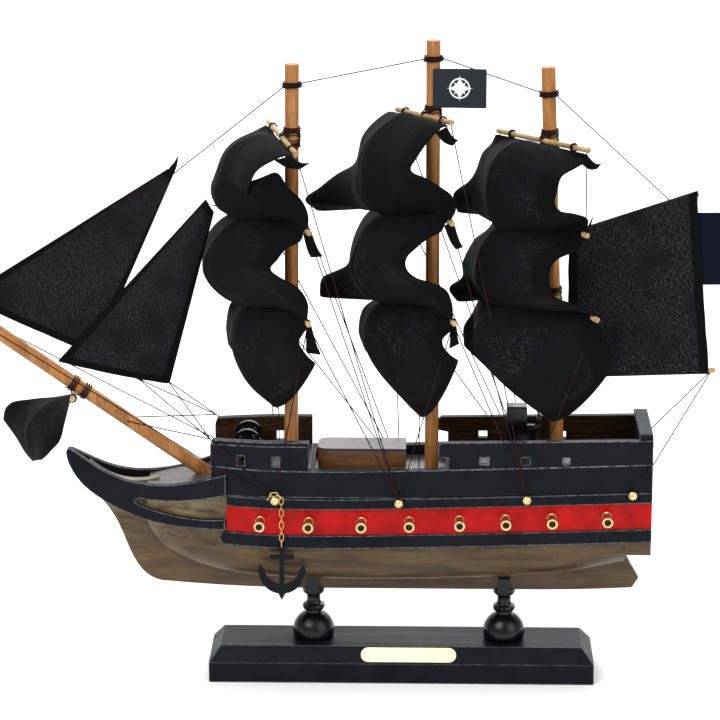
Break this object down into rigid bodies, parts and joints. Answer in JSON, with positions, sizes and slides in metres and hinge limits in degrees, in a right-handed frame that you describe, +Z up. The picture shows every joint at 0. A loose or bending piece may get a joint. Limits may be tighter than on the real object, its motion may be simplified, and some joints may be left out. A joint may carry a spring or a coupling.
{
  "type": "model sailing ship",
  "caption": "Three-masted wooden display ship with black cloth sails, red gun deck, thread rigging and hanging anchor, on a slotted two-post stand.",
  "frame": {"origin": "centre of the stand's underside", "axes": "+X from the bow to the stern, -Y to the ship's port side, +Z up"},
  "size_m": [0.3848, 0.0741, 0.2968],
  "materials": {
    "black_satin_wood": "satin black paint on wood, worn edges",
    "black_gloss_wood": "gloss black paint on turned wood",
    "brass": "polished pale brass",
    "screw_steel": "zinc-plated steel",
    "stained_hull_wood": "taupe-brown stain under gloss varnish, rubbed edges",
    "grey_deck_wood": "grey stain under gloss varnish",
    "red_paint": "brushed gloss red paint on wood",
    "orange_stained_wood": "orange-brown stain, varnished",
    "dark_stained_wood": "dark brown stain",
    "gilt_chain": "gilt",
    "black_metal": "black lacquer on metal",
    "honey_dowel": "honey stain on dowel",
    "bamboo": "bare bamboo",
    "black_cotton": "plain-woven black cotton",
    "flag_cloth": "printed slate-black fabric",
    "navy_flag_cloth": "navy-black woven fabric",
    "maroon_thread": "waxed maroon-brown thread"
  },
  "bodies": {
    "stand": {"stand_base": "black_satin_wood", "nameplate": "brass", "fore_stand_post": "black_gloss_wood", "aft_stand_post": "black_gloss_wood", "stand_screws": "screw_steel"},
    "ship": {"hull_body": "stained_hull_wood", "keel_and_stem": "stained_hull_wood", "beak_deck": "grey_deck_wood", "upper_hull": "black_satin_wood", "port_head_rail": "black_satin_wood", "starboard_head_rail": "black_satin_wood", "well_deck": "grey_deck_wood", "fore_deck": "grey_deck_wood", "quarter_deck": "grey_deck_wood", "transom": "black_satin_wood", "gun_bands": "red_paint", "lower_wales": "black_satin_wood", "upper_mouldings": "black_satin_wood", "port_fore_bulwark": "black_satin_wood", "starboard_fore_bulwark": "black_satin_wood", "port_aft_bulwark": "black_satin_wood", "starboard_aft_bulwark": "black_satin_wood", "port_cannons": "brass", "starboard_cannons": "brass", "rigging_pins": "brass", "waist_hatch": "orange_stained_wood", "hatch_lid": "grey_deck_wood", "windlass_posts": "black_gloss_wood", "wheel_stand": "black_gloss_wood", "fore_mast": "honey_dowel", "main_mast": "honey_dowel", "mizzen_mast": "honey_dowel", "bowsprit": "honey_dowel", "fore_yards": "bamboo", "main_yards": "bamboo", "mizzen_yards": "bamboo", "sprit_yard": "bamboo", "spanker_spars": "bamboo", "fore_top_sail": "black_cotton", "fore_middle_sail": "black_cotton", "fore_lower_sail": "black_cotton", "main_top_sail": "black_cotton", "main_middle_sail": "black_cotton", "main_lower_sail": "black_cotton", "mizzen_top_sail": "black_cotton", "mizzen_middle_sail": "black_cotton", "mizzen_lower_sail": "black_cotton", "outer_jib": "black_cotton", "inner_jib": "black_cotton", "spanker": "black_cotton", "spritsail": "black_cotton", "main_flag": "flag_cloth", "stern_flag": "navy_flag_cloth", "stay_line": "maroon_thread", "rigging": "maroon_thread", "lashings": "maroon_thread"},
    "windlass": {"windlass_drum": "black_gloss_wood"},
    "helm": {"ships_wheel": "dark_stained_wood"},
    "chain": {"anchor_chain": "gilt_chain"},
    "anchor": {"anchor": "black_metal"}
  },
  "joints": [
    {"name": "ship_lift", "type": "slide", "parent": "stand", "child": "ship", "axis": [0, 0, 1], "range_m": [0, 0.06]},
    {"name": "windlass_turn", "type": "hinge", "parent": "ship", "child": "windlass", "pos_m": [-0.0708, 0, 0.1124], "axis": [0, 1, 0], "continuous": true},
    {"name": "helm_turn", "type": "hinge", "parent": "ship", "child": "helm", "pos_m": [0.0624, 0, 0.1176], "axis": [1, 0, 0], "continuous": true},
    {"name": "chain_swing", "type": "hinge", "parent": "ship", "child": "chain", "pos_m": [-0.0545, -0.0258, 0.09185], "axis": [0, 1, 0], "range_deg": [-12, 4]},
    {"name": "anchor_swing", "type": "hinge", "parent": "chain", "child": "anchor", "pos_m": [-0.0545, -0.0258, 0.0686], "axis": [0, 1, 0], "range_deg": [-25, 25]}
  ]
}
